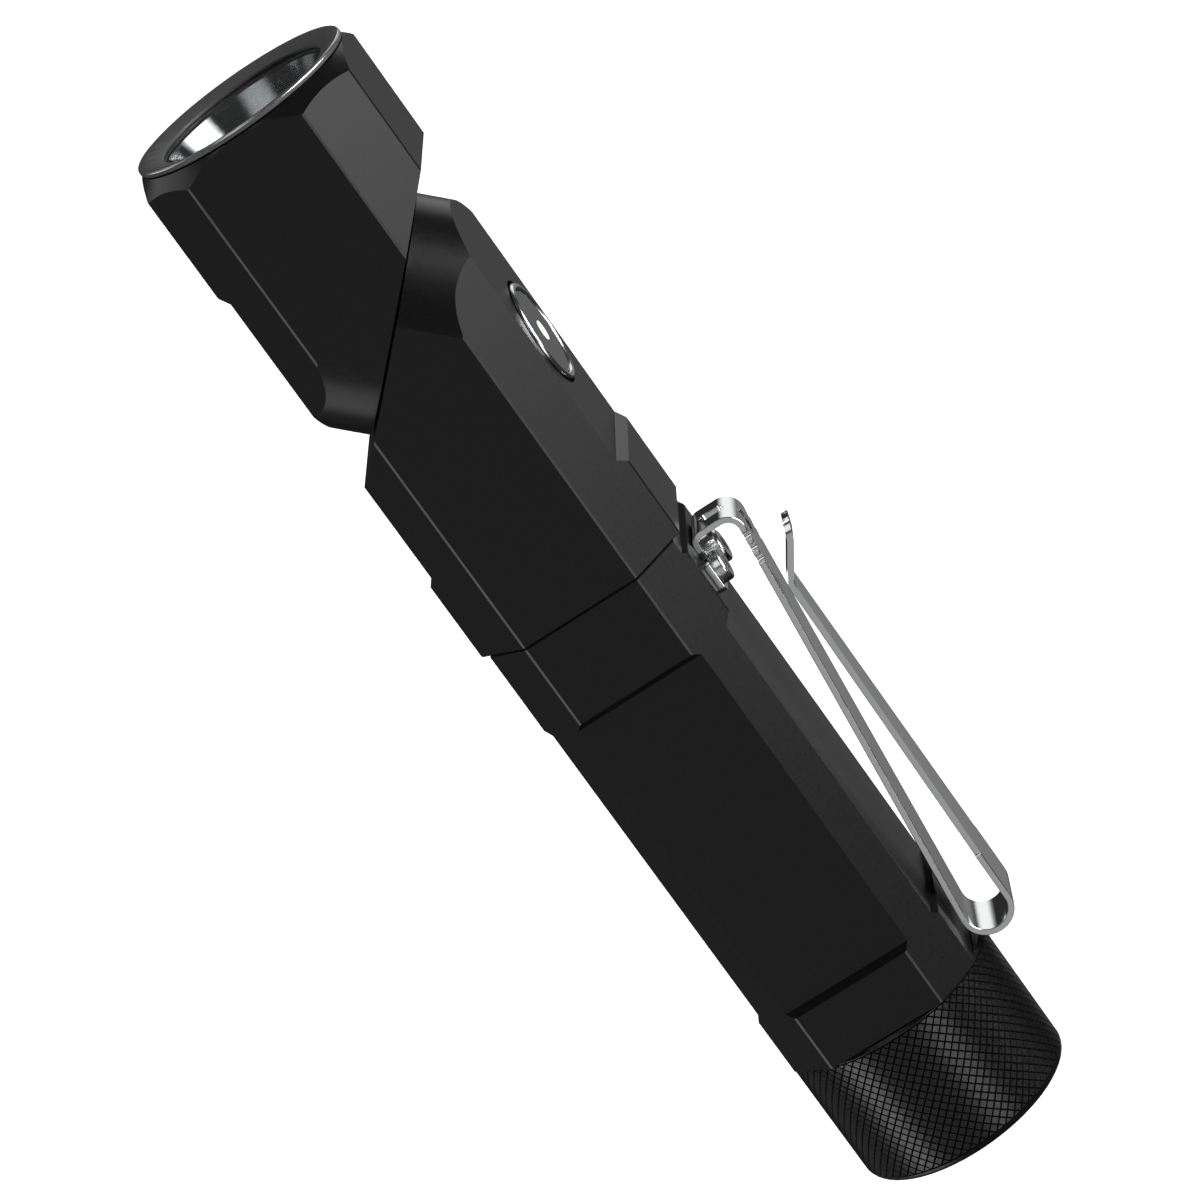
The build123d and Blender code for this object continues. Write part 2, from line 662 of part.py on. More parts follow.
with BuildPart() as head_housing:
    with BuildSketch(xy(pivot_height - half - 1)):
        octagon()
    extrude(amount=front_height - pivot_height + half + 1)
    head_profile = [
        (half - head_drop, pivot_height - half - 2),
        (half - head_drop, head_pad_bottom - ramp_length),
        (half, head_pad_bottom),
    ]
    lower_face(Plane.XZ, head_profile, sides=(-1,))
    keep_side(-1)
    trim_tip(-1)
    with BuildSketch(Plane.XZ):
        with BuildLine():
            round_edge = front_round_diameter / 2
            corner_edge = round_edge + front_round_length
            Polyline(
                (round_edge, front_height),
                (corner_edge, front_height - front_round_length),
                (corner_edge, front_height + 1),
                (round_edge, front_height + 1),
                close=True,
            )
        make_face()
    revolve(axis=Axis.Z, mode=Mode.SUBTRACT)
    with BuildSketch(Plane.XZ):
        with BuildLine():
            shelf_edge = led_board_diameter / 2 + led_board_play
            Polyline(
                (0, led_shelf_height),
                (shelf_edge, led_shelf_height),
                (shelf_edge, led_board_top),
                (barrel_diameter / 2, led_board_top + head_cone_height),
                (barrel_diameter / 2, skirt_bottom - bezel_gap),
                (bezel_skirt_diameter / 2 + assembly, skirt_bottom - bezel_gap),
                (bezel_skirt_diameter / 2 + assembly, front_height + 1),
                (0, front_height + 1),
                close=True,
            )
        make_face()
    revolve(axis=Axis.Z, mode=Mode.SUBTRACT)
    pocket(swivel_plane, spindle_thread_diameter + 2 * assembly, spindle_head_end + assembly)
    pocket(swivel_plane, bearing_washer_diameter + 2 * running, bearing_top)
    seal_groove = oring_wire + 2 * swivel_seal_play
    seal_depth = oring_wire - swivel_gap / 2 + swivel_seal_play
    seal_core = swivel_seal_diameter - seal_groove
    pocket(swivel_plane, swivel_seal_diameter + seal_groove, seal_depth, core=seal_core)
    with BuildSketch(swivel_plane):
        with Locations((0, -stop_pin_radius)):
            Circle(stop_pin_diameter / 2 + assembly)
    extrude(amount=stop_pin_seat + assembly, mode=Mode.SUBTRACT)
    wire_reach = spindle_head_end / math.sqrt(2)
    with BuildSketch(xy(led_shelf_height)):
        with Locations((-wire_reach, 0)):
            Circle(wire_hole / 2)
    extrude(amount=-(led_shelf_height - pivot_height - wire_reach), mode=Mode.SUBTRACT)
    with BuildSketch(xy(led_shelf_height)):
        with GridLocations(0, led_screw_spacing, 1, 2):
            Circle(m2_shank / 2 + assembly)
    extrude(amount=-(led_screw_depth + assembly), mode=Mode.SUBTRACT)

with BuildPart() as led_board:
    disc(xy(led_shelf_height), led_board_diameter, led_board_thickness)
    with BuildSketch(xy(led_shelf_height)):
        with GridLocations(0, led_screw_spacing, 1, 2):
            Circle(m2_shank / 2 + 2 * assembly)
    extrude(amount=led_board_thickness, mode=Mode.SUBTRACT)

with BuildPart() as led_board_screws:
    with BuildSketch(xy(led_board_top)):
        with GridLocations(0, led_screw_spacing, 1, 2):
            Circle(m2_head / 2)
    extrude(amount=m2_head_height)
    fillet(led_board_screws.edges().group_by(Axis.Z)[-1], m2_head_round)
    with BuildSketch(xy(led_board_top)):
        with GridLocations(0, led_screw_spacing, 1, 2):
            Circle(m2_shank / 2)
    extrude(amount=-(led_board_thickness + led_screw_depth))

with BuildPart() as led_emitter:
    with BuildSketch(xy(led_board_top)):
        Rectangle(led_side, led_side)
    extrude(amount=led_height)
    with BuildSketch(Plane.XZ):
        with BuildLine():
            dome = led_dome_diameter / 2
            dome_base = led_board_top + led_height
            dome_top = dome_base + led_dome_height
            dome_radius = (dome**2 + led_dome_height**2) / (2 * led_dome_height)
            Line((0, dome_base), (dome, dome_base))
            RadiusArc((dome, dome_base), (0, dome_top), -dome_radius)
            Line((0, dome_top), (0, dome_base))
        make_face()
    revolve(axis=Axis.Z)

with BuildPart() as led_gasket:
    gasket_height = reflector_bottom - led_board_top
    disc(xy(led_board_top), led_gasket_diameter, gasket_height)
    with BuildSketch(xy(led_board_top)):
        Rectangle(led_side + 4 * assembly, led_side + 4 * assembly)
    extrude(amount=gasket_height, mode=Mode.SUBTRACT)

with BuildPart() as reflector:
    with BuildSketch(Plane.XZ):
        with BuildLine():
            hole_edge = reflector_hole / 2
            mouth_edge = reflector_mouth / 2
            waist = (hole_edge + mouth_edge) / 2
            waist_height = reflector_apex + waist**2 / (4 * reflector_focus)
            flange_edge = barrel_diameter / 2 - assembly
            flange_bottom = reflector_top - reflector_flange
            Spline(
                (hole_edge, reflector_bottom),
                (waist, waist_height),
                (mouth_edge, reflector_top),
                tangents=[(2 * reflector_focus, hole_edge), (2 * reflector_focus, mouth_edge)],
            )
            Polyline(
                (mouth_edge, reflector_top),
                (flange_edge, reflector_top),
                (flange_edge, flange_bottom),
                (mouth_edge, flange_bottom),
            )
            Spline(
                (mouth_edge, flange_bottom),
                (waist + reflector_wall, waist_height),
                (hole_edge + reflector_wall, reflector_bottom),
            )
            Line((hole_edge + reflector_wall, reflector_bottom), (hole_edge, reflector_bottom))
        make_face()
    revolve(axis=Axis.Z)

with BuildPart() as lens_seal:
    lens_diameter = barrel_diameter - 2 * assembly
    disc(xy(reflector_top), lens_diameter, lens_seal_thickness, reflector_mouth)

with BuildPart() as lens:
    disc(xy(reflector_top + lens_seal_thickness), lens_diameter, lens_thickness)

with BuildPart() as bezel_ring:
    with BuildSketch(Plane.XZ):
        with BuildLine():
            skirt = bezel_skirt_diameter / 2
            rim = bezel_diameter / 2
            rim_base = total_length - bezel_rim_height
            Polyline(
                (skirt, skirt_bottom),
                (skirt, rim_base),
                (rim, rim_base),
                (rim, total_length - bezel_break),
                (rim - bezel_break, total_length),
                (rim - bezel_lip, total_length),
                (bezel_bore / 2, lens_top + bezel_bore_height),
                (bezel_bore / 2, lens_top),
                (barrel_diameter / 2, lens_top),
                (barrel_diameter / 2, skirt_bottom),
                close=True,
            )
        make_face()
    revolve(axis=Axis.Z)

# ---- Write one file for each piece ----
pieces = {
    "tail_cap": tail_cap,
    "tail_contact_board": tail_contact_board,
    "tail_contact_ring": tail_contact_ring,
    "tail_spring": tail_spring,
    "battery_tube": battery_tube,
    "tail_oring": tail_oring,
    "joint_oring": joint_oring,
    "battery_cell": battery_cell,
    "clip": clip,
    "clip_screws": clip_screws,
    "body_housing": body_housing,
    "driver_board": driver_board,
    "driver_ring": driver_ring,
    "front_spring": front_spring,
    "button_ring": button_ring,
    "button_cap": button_cap,
    "indicator_window": indicator_window,
    "tactile_switch": tactile_switch,
    "switch_plunger": switch_plunger,
    "switch_board": switch_board,
    "swivel_spindle": swivel_spindle,
    "spring_washer": spring_washer,
    "bearing_washer": bearing_washer,
    "swivel_seal": swivel_seal,
    "swivel_stop_pin": swivel_stop_pin,
    "head_housing": head_housing,
    "led_board": led_board,
    "led_board_screws": led_board_screws,
    "led_emitter": led_emitter,
    "led_gasket": led_gasket,
    "reflector": reflector,
    "lens_seal": lens_seal,
    "lens": lens,
    "bezel_ring": bezel_ring,
}
os.makedirs("parts", exist_ok=True)
for label, piece in pieces.items():
    piece.part.label = label
    export_step(piece.part, f"parts/{label}.step")
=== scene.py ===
import math

import bmesh
import bpy
from bpy.props import FloatProperty, FloatVectorProperty, IntProperty, PointerProperty
from mathutils import Euler, Matrix, Vector


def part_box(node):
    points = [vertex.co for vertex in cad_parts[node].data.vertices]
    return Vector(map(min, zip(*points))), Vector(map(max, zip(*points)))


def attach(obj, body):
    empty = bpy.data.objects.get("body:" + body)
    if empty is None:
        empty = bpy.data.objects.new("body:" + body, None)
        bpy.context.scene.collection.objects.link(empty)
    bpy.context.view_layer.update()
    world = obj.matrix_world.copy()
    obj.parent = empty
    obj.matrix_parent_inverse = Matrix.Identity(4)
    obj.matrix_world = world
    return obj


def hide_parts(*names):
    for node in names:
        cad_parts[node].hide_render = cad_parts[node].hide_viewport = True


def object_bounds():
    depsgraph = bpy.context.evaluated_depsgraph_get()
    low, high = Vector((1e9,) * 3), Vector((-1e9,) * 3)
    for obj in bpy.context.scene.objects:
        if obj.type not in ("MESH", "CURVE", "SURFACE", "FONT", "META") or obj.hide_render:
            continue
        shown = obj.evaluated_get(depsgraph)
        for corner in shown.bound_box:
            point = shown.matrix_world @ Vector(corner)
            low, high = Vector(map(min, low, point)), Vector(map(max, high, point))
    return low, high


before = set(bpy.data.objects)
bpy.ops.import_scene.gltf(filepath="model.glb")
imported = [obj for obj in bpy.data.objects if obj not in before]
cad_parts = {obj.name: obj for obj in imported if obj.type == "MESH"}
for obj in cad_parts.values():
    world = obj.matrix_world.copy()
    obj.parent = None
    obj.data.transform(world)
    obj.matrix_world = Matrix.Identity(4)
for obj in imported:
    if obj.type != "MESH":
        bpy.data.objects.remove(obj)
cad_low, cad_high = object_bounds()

bl_info = {
    "name": "Swivel-head flashlight",
    "version": (1, 0, 0),
    "blender": (4, 5, 0),
    "location": "View3D > Sidebar > Flashlight",
    "description": "Dresses a swivel-head pocket flashlight with its pieces, finishes and studio",
    "category": "Object",
}

# Lengths are in metres and areas in square metres.
MERGE_DISTANCE = 2e-6  # points closer than this are one point
CLIP_MERGE_DISTANCE = 2e-5  # the same for the clip, whose bends are finely cut
FLAT_ANGLE = math.radians(0.5)  # faces that turn by less are one flat face
SHARP_ANGLE = math.radians(26)  # edges that turn by more are shaded sharp
KNURL_SHARP_ANGLE = math.radians(25)  # the same on the knurled cap
FACET_SHARP_ANGLE = math.radians(1)  # the same, where a wide flat face ends
CORNER_ANGLE = math.radians(30)  # the least turn of a corner that is broken
BEZEL_EDGE_ANGLE = math.radians(18)  # the least turn of a bezel edge that is rounded
CLIP_EDGE_ANGLE = math.radians(60)  # and of a clip edge
ALONG = 0.99  # a normal's share of an axis, from which it counts as facing along it
UPRIGHT = 0.999  # an edge's share of Z, from which it counts as upright
LONG_EDGE = 0.003  # the shortest corner that is broken
OUTER_REACH = 0.0123  # the broken corners lie farther out than this
SEAM_REACH = 0.0118  # so do the seam's edges, than this
RAMP_REACH = 0.0110  # and the tube's sloping steps, than this
RAMP_SLOPES = 0.3, 0.95  # the Z share of a sloping step's normal
FLAT_AREA = 6e-6  # a face larger than this is wide
CLIP_HALF_WIDTH = 0.0023  # the clip's outer sides lie farther out than this
RIM_DEPTH = 0.0003  # how deep the painted highlight on the bezel's outer edge reaches

# Steps round curves
FOOT_STEPS = 6
RING_STEPS = 96
CROWN_STEPS = 12

# Button ring
RING_GROOVE = 0.00025  # left round the ring
RING_WIDTH = 0.0008
RING_SHELF = 0.0012  # from the ring's foot up to the shelf over the button's flange
FLANGE_PLAY = 0.0001  # round the button's flange

# Tail cap
BORE_PLAY = 0.00005  # round the contact ring in the cap's bore
BAND_STEP = 0.0001  # height of the plain ring between the knurl and each end


# ---- Settings ----
def length(name, description, default):
    """A size in metres that a user may change."""
    return FloatProperty(
        name=name, description=description, default=default, min=0, unit="LENGTH", precision=5
    )


def colour(name, description, default):
    """A colour that a user may change."""
    return FloatVectorProperty(
        name=name, description=description, default=default, size=3, subtype="COLOR", min=0, max=1
    )


class FlashlightCamera(bpy.types.PropertyGroup):
    """Where the light is seen from."""

    place: FloatVectorProperty(
        name="Place", description="Where the camera stands", size=3, subtype="TRANSLATION",
        unit="LENGTH", default=(0.11063, -0.54098, 0.24856),
    )
    turn: FloatVectorProperty(
        name="Turn", description="How the camera is turned", size=3, subtype="EULER",
        unit="ROTATION", default=tuple(math.radians(a) for a in (68.76232, 34.01394, -0.70365)),
    )
    lens: FloatProperty(name="Lens", description="Focal length", default=157.5, min=1, unit="CAMERA")


class FlashlightStage(bpy.types.PropertyGroup):
    """The floor and the light round the object."""

    floor_drop: length("Floor drop", "How far the floor lies below the tail", 0.06)
    floor_size: length("Floor size", "Side of the square floor", 12.0)
    floor_colour: colour("Floor colour", "Pale floor", (0.9, 0.9, 0.9))
    floor_glow: FloatProperty(name="Floor glow", description="Evens the floor out", default=1.0, min=0)
    sky_colour: colour("Sky colour", "What shows past the floor's edge", (0.93, 0.93, 0.93))
    ambient: FloatProperty(name="Ambient", description="Light from every direction", default=0.03, min=0)


class FlashlightEdges(bpy.types.PropertyGroup):
    """How far the edges are rounded."""

    body: length("Body edges", "Rounding of the anodised pieces' long edges", 0.00015)
    front: length("Bezel edges", "Rounding of the bezel's edges", 0.00006)
    strip: length("Clip edges", "Rounding of the clip's edges", 0.00013)


class FlashlightKnurl(bpy.types.PropertyGroup):
    """The diamond knurl of the tail cap."""

    around: IntProperty(name="Diamonds around", description="Diamonds round the cap", default=68, min=12)
    rows: IntProperty(name="Rows", description="Rows of diamonds", default=13, min=2)
    depth: length("Groove depth", "From a diamond's face to the groove's floor", 0.0002)
    groove: length("Groove width", "Between two diamonds' faces", 0.00020)
    foot_band: length("Foot band", "Height of the rounded foot", 0.0010)
    foot_radius: length("Foot radius", "Rounding of the foot", 0.0010)
    mouth_band: length("Mouth band", "Plain height below the mouth", 0.0005)
    mouth_chamfer: length("Mouth chamfer", "Chamfer of the mouth's edge", 0.00035)


class FlashlightFinish(bpy.types.PropertyGroup):
    """The colours of the finishes."""

    anodised: colour("Anodised", "Black anodised aluminium", (0.0045, 0.0045, 0.0048))
    # painted shade: step is a darker colour than the coat. It is given to the battery tube's sloping steps
    # in place of the shadow on them.
    step: colour("Step", "Matt black steps of the battery tube", (0.0022, 0.0022, 0.0023))
    knurled: colour("Knurled", "Tail cap", (0.0050, 0.0050, 0.0055))
    bezel: colour("Bezel", "Turned bezel", (0.085, 0.085, 0.087))
    steel: colour("Steel", "Polished spring steel", (0.90, 0.91, 0.91))
    chrome: colour("Chrome", "Button ring", (0.86, 0.87, 0.88))
    button: colour("Button", "Gloss black button", (0.006, 0.007, 0.007))
    indicator: colour("Indicator", "Lit window", (0.78, 0.90, 0.72))
    glass: colour("Glass", "Lens", (0.97, 0.99, 0.99))
    mirror: colour("Mirror", "Reflector", (0.78, 0.80, 0.81))
    rubber: colour("Rubber", "Seals", (0.016, 0.016, 0.017))
    board: colour("Board", "Circuit boards", (0.010, 0.085, 0.032))
    phosphor: colour("Phosphor", "LED phosphor", (0.86, 0.62, 0.06))
    wrap: colour("Wrap", "Cell's shrink wrap", (0.035, 0.13, 0.34))


class FlashlightSettings(bpy.types.PropertyGroup):
    """Everything that a user would change."""

    camera: PointerProperty(type=FlashlightCamera)
    stage: PointerProperty(type=FlashlightStage)
    edges: PointerProperty(type=FlashlightEdges)
    knurl: PointerProperty(type=FlashlightKnurl)
    finish: PointerProperty(type=FlashlightFinish)


# ---- Node helpers ----
def new_node(tree, kind, settings=(), **values):
    """A node in a tree, with its attributes and its inputs' values set."""
    node = tree.nodes.new(kind)
    for name, value in dict(settings).items():
        setattr(node, name, value)
    for name, value in values.items():
        node.inputs[name.replace("_", " ")].default_value = value
    return node


def effect_group(name, inputs, outputs):
    """An empty shader node group, with its sockets, and its two ends."""
    tree = bpy.data.node_groups.new(name, "ShaderNodeTree")
    for label, kind, value in inputs:
        socket = tree.interface.new_socket(name=label, in_out="INPUT", socket_type=kind)
        if value is not None:
            socket.default_value = value
    for label, kind in outputs:
        tree.interface.new_socket(name=label, in_out="OUTPUT", socket_type=kind)
    return tree, tree.nodes.new("NodeGroupInput"), tree.nodes.new("NodeGroupOutput")


def map_range(tree, value, low, high, out_low, out_high):
    """A Map Range node fed by a socket."""
    node = new_node(tree, "ShaderNodeMapRange")
    tree.links.new(value, node.inputs["Value"])
    for name, number in zip(("From Min", "From Max", "To Min", "To Max"), (low, high, out_low, out_high)):
        node.inputs[name].default_value = number
    return node.outputs["Result"]


def make_grain_group():
    """Fine, even grain: its height, and a soft mottle for roughness and colour."""
    tree, start, end = effect_group(
        "fine_grain",
        [("Vector", "NodeSocketVector", None), ("Scale", "NodeSocketFloat", 16000.0),
         ("Mottle Scale", "NodeSocketFloat", 2400.0)],
        [("Height", "NodeSocketFloat"), ("Mottle", "NodeSocketFloat")],
    )
    fine = new_node(tree, "ShaderNodeTexNoise", Detail=3.0, Roughness=0.6)
    broad = new_node(tree, "ShaderNodeTexNoise", Detail=4.0, Roughness=0.55)
    for node, scale in ((fine, "Scale"), (broad, "Mottle Scale")):
        tree.links.new(start.outputs["Vector"], node.inputs["Vector"])
        tree.links.new(start.outputs[scale], node.inputs["Scale"])
    tree.links.new(fine.outputs["Fac"], end.inputs["Height"])
    tree.links.new(broad.outputs["Fac"], end.inputs["Mottle"])
    return tree


def make_turning_group():
    """Fine rings left by a lathe about the Z axis of the vector given."""
    tree, start, end = effect_group(
        "lathe_rings",
        [("Vector", "NodeSocketVector", None), ("Pitch", "NodeSocketFloat", 0.00012)],
        [("Height", "NodeSocketFloat")],
    )
    flatten = new_node(tree, "ShaderNodeVectorMath", {"operation": "MULTIPLY"})
    flatten.inputs[1].default_value = (1, 1, 0)
    reach = new_node(tree, "ShaderNodeVectorMath", {"operation": "LENGTH"})
    turns = new_node(tree, "ShaderNodeMath", {"operation": "DIVIDE"})
    wave = new_node(tree, "ShaderNodeMath", {"operation": "PINGPONG"})
    wave.inputs[1].default_value = 0.5
    tree.links.new(start.outputs["Vector"], flatten.inputs[0])
    tree.links.new(flatten.outputs["Vector"], reach.inputs[0])
    tree.links.new(reach.outputs["Value"], turns.inputs[0])
    tree.links.new(start.outputs["Pitch"], turns.inputs[1])
    tree.links.new(turns.outputs["Value"], wave.inputs[0])
    tree.links.new(wave.outputs["Value"], end.inputs["Height"])
    return tree


def make_scratch_group():
    """Fine straight scratches along the Z axis of the vector given."""
    tree, start, end = effect_group(
        "drawn_lines",
        [("Vector", "NodeSocketVector", None), ("Scale", "NodeSocketFloat", 5000.0)],
        [("Height", "NodeSocketFloat")],
    )
    stretch = new_node(tree, "ShaderNodeVectorMath", {"operation": "MULTIPLY"})
    stretch.inputs[1].default_value = (1, 1, 0.02)
    lines = new_node(tree, "ShaderNodeTexNoise", Detail=2.0, Roughness=0.5)
    tree.links.new(start.outputs["Vector"], stretch.inputs[0])
    tree.links.new(stretch.outputs["Vector"], lines.inputs["Vector"])
    tree.links.new(start.outputs["Scale"], lines.inputs["Scale"])
    tree.links.new(lines.outputs["Fac"], end.inputs["Height"])
    return tree


def effect(name, maker):
    """A shared effect, made the first time that it is asked for."""
    return bpy.data.node_groups.get(name) or maker()


def finish(name, base, roughness, spread, metallic=0.0, bump=0.02, tint=0.15, pattern="grain", **plain):
    """A material on Object coordinates: a base colour with a mottle, varied roughness and a fine relief.
    base is the colour, spread how far the roughness varies, and plain the shader's other plain values."""
    material = bpy.data.materials.new(name)
    material.use_nodes = True
    tree = material.node_tree
    shader = tree.nodes["Principled BSDF"]
    shader.inputs["Metallic"].default_value = metallic
    for key, value in plain.items():
        shader.inputs[key.replace("_", " ")].default_value = value
    place = new_node(tree, "ShaderNodeTexCoord")
    grain = new_node(tree, "ShaderNodeGroup", {"node_tree": effect("fine_grain", make_grain_group)})
    tree.links.new(place.outputs["Object"], grain.inputs["Vector"])
    height = grain.outputs["Height"]
    if pattern == "rings":
        rings = new_node(tree, "ShaderNodeGroup", {"node_tree": effect("lathe_rings", make_turning_group)})
        tree.links.new(place.outputs["Object"], rings.inputs["Vector"])
        height = rings.outputs["Height"]
    elif pattern == "drawn":
        lines = new_node(tree, "ShaderNodeGroup", {"node_tree": effect("drawn_lines", make_scratch_group)})
        tree.links.new(place.outputs["Object"], lines.inputs["Vector"])
        height = lines.outputs["Height"]
    blend = new_node(tree, "ShaderNodeMix", {"data_type": "RGBA"})
    blend.inputs["A"].default_value = (*[c * (1 - tint) for c in base], 1)
    blend.inputs["B"].default_value = (*[min(1, c * (1 + tint)) for c in base], 1)
    tree.links.new(grain.outputs["Mottle"], blend.inputs["Factor"])
    tree.links.new(blend.outputs["Result"], shader.inputs["Base Color"])
    rough = map_range(tree, grain.outputs["Mottle"], 0.3, 0.7, roughness - spread, roughness + spread)
    tree.links.new(rough, shader.inputs["Roughness"])
    relief = new_node(tree, "ShaderNodeBump", Strength=bump, Distance=0.0001)
    tree.links.new(height, relief.inputs["Height"])
    tree.links.new(relief.outputs["Normal"], shader.inputs["Normal"])
    return material


# ---- Mesh helpers ----
def merged_copy(node, distance=MERGE_DISTANCE):
    """A CAD node as a bmesh, with its triangles joined into whole faces."""
    bm = bmesh.new()
    bm.from_mesh(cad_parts[node].data)
    bmesh.ops.remove_doubles(bm, verts=bm.verts, dist=distance)
    bmesh.ops.dissolve_limit(bm, angle_limit=FLAT_ANGLE, verts=bm.verts, edges=bm.edges)
    return bm


def round_edges(bm, width, segments, least_angle):
    """Rounds the edges that turn by more than an angle, and gives the faces made."""
    edges = [e for e in bm.edges if len(e.link_faces) == 2 and e.calc_face_angle() > least_angle]
    made = bmesh.ops.bevel(
        bm, geom=edges, offset=width, offset_type="OFFSET", segments=segments, profile=0.5,
        affect="EDGES", clamp_overlap=True, material=-1,
    )
    return made["faces"]


def is_long_corner(edge):
    """True for a long edge along Z on the outside of the eight-sided body."""
    first, second = (v.co for v in edge.verts)
    run = edge.calc_length()
    return (
        len(edge.link_faces) == 2 and edge.calc_face_angle() > CORNER_ANGLE and run > LONG_EDGE
        and abs(first.z - second.z) > UPRIGHT * run and max(abs(first.x), abs(first.y)) > OUTER_REACH
    )


def is_seam(edge, height):
    """True for an outer edge of the end face at a height, where two bodies meet."""
    if len(edge.link_faces) != 2 or max(abs(v.co.z - height) for v in edge.verts) > MERGE_DISTANCE:
        return False
    end, side = sorted(edge.link_faces, key=lambda f: -abs(f.normal.z))
    middle = (edge.verts[0].co + edge.verts[1].co) / 2
    upright = abs(side.normal.z) < 1 - ALONG
    return abs(end.normal.z) > ALONG and upright and side.normal.dot(middle) > SEAM_REACH


def break_corners(bm, width, seam):
    """Breaks the body's long outer edges and its seam with a flat, and shades wide faces crisply."""
    bmesh.ops.bevel(
        bm, geom=[e for e in bm.edges if is_long_corner(e) or is_seam(e, seam)], offset=width,
        offset_type="OFFSET", segments=1, profile=0.5, affect="EDGES", clamp_overlap=False, material=-1,
    )
    wide = {f for f in bm.faces if f.calc_area() > FLAT_AREA}
    for edge in bm.edges:
        if len(edge.link_faces) == 2 and wide.intersection(edge.link_faces):
            edge.smooth = edge.calc_face_angle() < FACET_SHARP_ANGLE


def add_piece(bm, name, body, materials, nodes=(), sharp=SHARP_ANGLE):
    """Makes a bmesh a finished piece that rides on a body and stands for CAD nodes."""
    for edge in bm.edges:
        if len(edge.link_faces) == 2 and edge.calc_face_angle() > sharp:
            edge.smooth = False
    for face in bm.faces:
        face.smooth = True
    mesh = bpy.data.meshes.new(name)
    bm.to_mesh(mesh)
    bm.free()
    for material in materials:
        mesh.materials.append(material)
    piece = bpy.data.objects.new(name, mesh)
    bpy.context.scene.collection.objects.link(piece)
    even = piece.modifiers.new("even_normals", "WEIGHTED_NORMAL")
    even.keep_sharp = True
    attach(piece, body)
    if nodes:
        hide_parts(*nodes)
    return piece


def dress(material, *nodes):
    """Gives CAD nodes a finish through their own material slots."""
    for node in nodes:
        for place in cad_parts[node].material_slots:
            place.material = material


class FlashlightOperator(bpy.types.Operator):
    """What the flashlight's operators share."""

    bl_options = {"REGISTER"}

    def execute(self, context):
        self.make(context.scene.flashlight)
        return {"FINISHED"}


# ---- Stage ----
def make_softbox_group():
    """A soft-edged round light, as a mask over directions."""
    tree, start, end = effect_group(
        "softbox",
        [("Direction", "NodeSocketVector", None), ("Towards", "NodeSocketVector", None),
         ("Outer", "NodeSocketFloat", 0.8), ("Inner", "NodeSocketFloat", 0.9),
         ("Brightness", "NodeSocketFloat", 1.0)],
        [("Light", "NodeSocketFloat")],
    )
    along = new_node(tree, "ShaderNodeVectorMath", {"operation": "DOT_PRODUCT"})
    soft = new_node(tree, "ShaderNodeMapRange", {"interpolation_type": "SMOOTHSTEP"})
    tree.links.new(start.outputs["Direction"], along.inputs[0])
    tree.links.new(start.outputs["Towards"], along.inputs[1])
    tree.links.new(along.outputs["Value"], soft.inputs["Value"])
    tree.links.new(start.outputs["Outer"], soft.inputs["From Min"])
    tree.links.new(start.outputs["Inner"], soft.inputs["From Max"])
    tree.links.new(start.outputs["Brightness"], soft.inputs["To Max"])
    tree.links.new(soft.outputs["Result"], end.inputs["Light"])
    return tree


SOFTBOXES = [  # direction, the angles of its outer and inner edge in degrees, brightness
    ((0.96, -0.17, 0.22), 30, 12, 9.0),  # right
    ((0.27, 0.90, 0.36), 23, 7, 1.20),  # behind, above the horizon
    ((0.19, 0.93, -0.20), 20, 8, 0.22),  # behind, low
    ((0.52, -0.79, -0.30), 16, 9, 3.60),  # front right, a narrow strip that draws the edges
    ((-0.79, -0.52, -0.30), 16, 9, 4.20),  # front left, the same
    ((-0.20, -0.04, 0.98), 16, 8, 3.20),  # overhead
    ((-0.18, -0.76, 0.62), 24, 8, 1.10),  # front, above
    ((-0.20, -0.93, -0.30), 30, 18, 0.37),  # front, low
    ((-0.93, 0.19, -0.30), 36, 20, 0.14),  # left, low
    ((-0.66, -0.20, -0.72), 23, 10, 1.50),  # left, far below
    ((-0.77, 0.35, 0.52), 28, 16, 1.10),  # left, above
]


